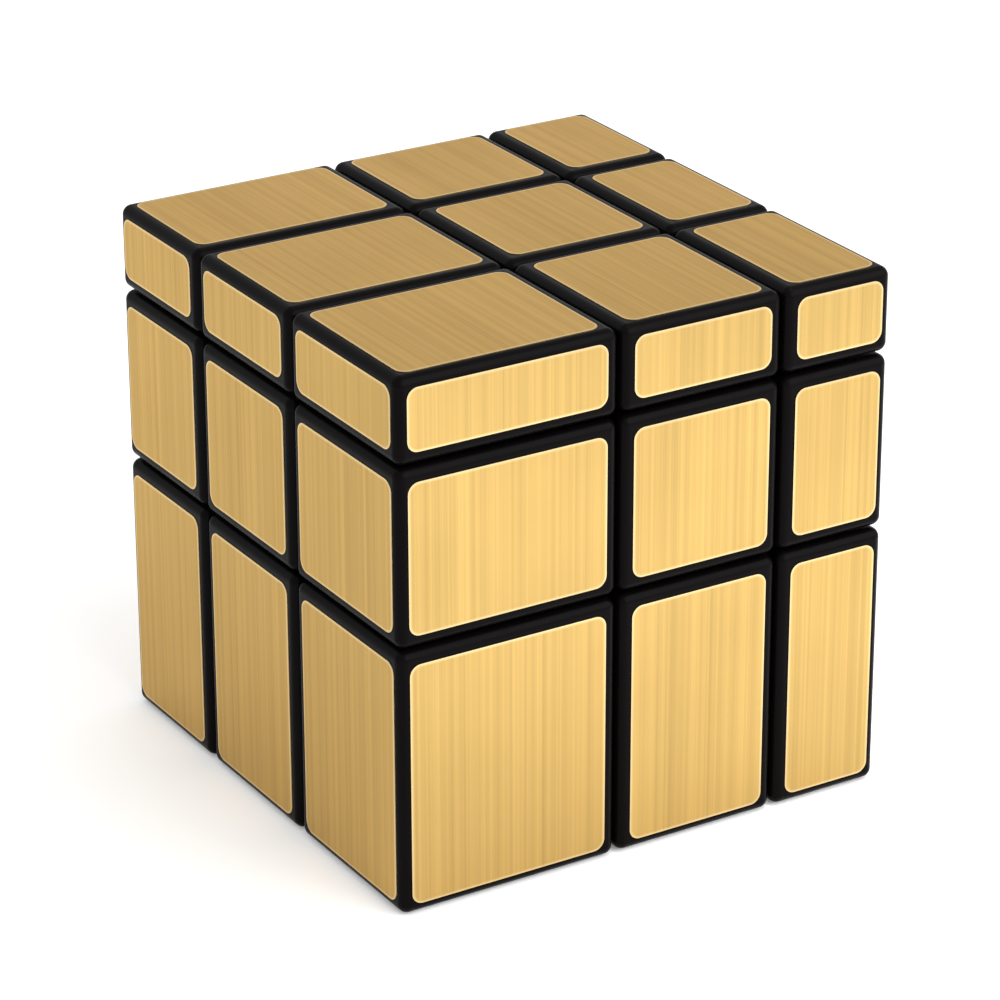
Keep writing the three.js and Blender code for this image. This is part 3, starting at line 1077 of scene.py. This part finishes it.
def make_floor(stage):
    shape = bmesh.new()
    bmesh.ops.create_grid(shape, x_segments=2, y_segments=2, size=TABLE_HALF)
    floor = from_bmesh(shape)
    floor.name = floor.data.name = "table"
    # A light table with a matt white sheet on it. It shows from above only, so that the
    # underside of the cube can be looked at too.
    glow = {"Emission Color": WHITE, "Emission Strength": stage.table_glow}
    matt = {"Roughness": TABLE_ROUGH, **glow}
    material, tree, shader = new_material("matt_white_table", stage.floor, matt)
    below = add(tree, "ShaderNodeNewGeometry").outputs["Backfacing"]
    clear = add(tree, "ShaderNodeBsdfTransparent")
    surface = tree.nodes["Material Output"].inputs["Surface"]
    add(tree, "ShaderNodeMixShader", {0: below, 1: shader, 2: clear}, surface)
    floor.data.materials.append(material)


def make_room(scene, stage):
    world = bpy.data.worlds.new("room")
    world.use_nodes = True
    tree = world.node_tree
    tree.nodes.clear()
    white = {"Color": WHITE, "Strength": stage.surround}
    light = add(tree, "ShaderNodeBackground", white)
    add(tree, "ShaderNodeOutputWorld", {"Surface": light})
    scene.world = world
    key = bpy.data.lights.new("key", "AREA")
    key.shape, key.energy = "RECTANGLE", stage.key
    key.size, key.size_y = KEY_SIZE
    hang(scene, key, KEY_PLACE, KEY_TARGET)
    # The bright foil of the front comes from the table that it mirrors, so a second light
    # makes a soft pool there and misses the cube.
    pool = bpy.data.lights.new("pool", "SPOT")
    pool.energy, pool.shadow_soft_size = stage.pool, POOL_BULB
    pool.spot_size, pool.spot_blend = POOL_ANGLE, 1.0
    hang(scene, pool, POOL_PLACE, POOL_TARGET)


def hang(scene, lamp, place, target):
    holder = bpy.data.objects.new(lamp.name, lamp)
    holder.location = place
    holder.rotation_euler = (target - place).to_track_quat("-Z", "Y").to_euler()
    scene.collection.objects.link(holder)


def make_camera(scene, stage):
    low, high = (Vector(corner) for corner in CAD_BOX)
    across, rise = math.sin(stage.azimuth), math.sin(stage.elevation)
    level = math.cos(stage.elevation)
    back = Vector((across * level, -math.cos(stage.azimuth) * level, rise))
    level_right = (-back).cross(UP).normalized()
    turn = Matrix.Rotation(stage.roll, 3, back)
    right, up = turn @ level_right, turn @ level_right.cross(-back)
    camera = bpy.data.objects.new("camera", bpy.data.cameras.new("camera"))
    camera.data.lens = stage.lens
    camera.data.clip_start, camera.data.clip_end = NEAR_CLIP, FAR_CLIP
    shift = right * stage.aim[0] + up * stage.aim[1]
    camera.location = (low + high) / 2 + back * stage.distance + shift
    camera.rotation_euler = Matrix((right, up, back)).transposed().to_euler()
    scene.collection.objects.link(camera)
    scene.camera = camera


class MIRRORCUBE_OT_stage(bpy.types.Operator):
    """Makes the table, the lights and the camera"""

    bl_idname = "mirrorcube.stage"
    bl_label = "Studio"

    def execute(self, context):
        stage = context.scene.cube_stage
        scene = context.scene
        scene.view_settings.view_transform = "Standard"
        make_floor(stage)
        make_room(scene, stage)
        make_camera(scene, stage)
        return {"FINISHED"}


class MIRRORCUBE_PT_panel(bpy.types.Panel):
    """Lists the steps and the sizes"""

    bl_label = "Mirror block cube"
    bl_space_type = "VIEW_3D"
    bl_region_type = "UI"
    bl_category = "Mirror cube"

    def draw(self, context):
        for step in STEPS:
            self.layout.operator(step.bl_idname)
        for name in SETTINGS:
            box = self.layout.box()
            group = getattr(context.scene, name)
            for key in group.__annotations__:
                box.prop(group, key)


STEPS = (
    MIRRORCUBE_OT_corner_shells,
    MIRRORCUBE_OT_edge_blocks,
    MIRRORCUBE_OT_centre_caps,
    MIRRORCUBE_OT_foil,
    MIRRORCUBE_OT_core,
    MIRRORCUBE_OT_centre_bases,
    MIRRORCUBE_OT_corner_feet,
    MIRRORCUBE_OT_screws,
    MIRRORCUBE_OT_washers,
    MIRRORCUBE_OT_springs,
    MIRRORCUBE_OT_stage,
)
SETTINGS = {
    "cube_blocks": BlockSizes,
    "cube_works": WorksSizes,
    "cube_foil": FoilSizes,
    "cube_finishes": Finishes,
    "cube_stage": StageSettings,
}


def register():
    for group in (*SETTINGS.values(), *STEPS, MIRRORCUBE_PT_panel):
        bpy.utils.register_class(group)
    for name, group in SETTINGS.items():
        setattr(bpy.types.Scene, name, PointerProperty(type=group))


def unregister():
    for name in SETTINGS:
        delattr(bpy.types.Scene, name)
    for group in (MIRRORCUBE_PT_panel, *reversed(STEPS), *reversed(SETTINGS.values())):
        bpy.utils.unregister_class(group)


def main():
    register()
    bpy.ops.mirrorcube.corner_shells()
    bpy.ops.mirrorcube.edge_blocks()
    bpy.ops.mirrorcube.centre_caps()
    bpy.ops.mirrorcube.foil()
    bpy.ops.mirrorcube.core()
    bpy.ops.mirrorcube.centre_bases()
    bpy.ops.mirrorcube.corner_feet()
    bpy.ops.mirrorcube.screws()
    bpy.ops.mirrorcube.washers()
    bpy.ops.mirrorcube.springs()
    bpy.ops.mirrorcube.stage()


if __name__ == "__main__":
    main()
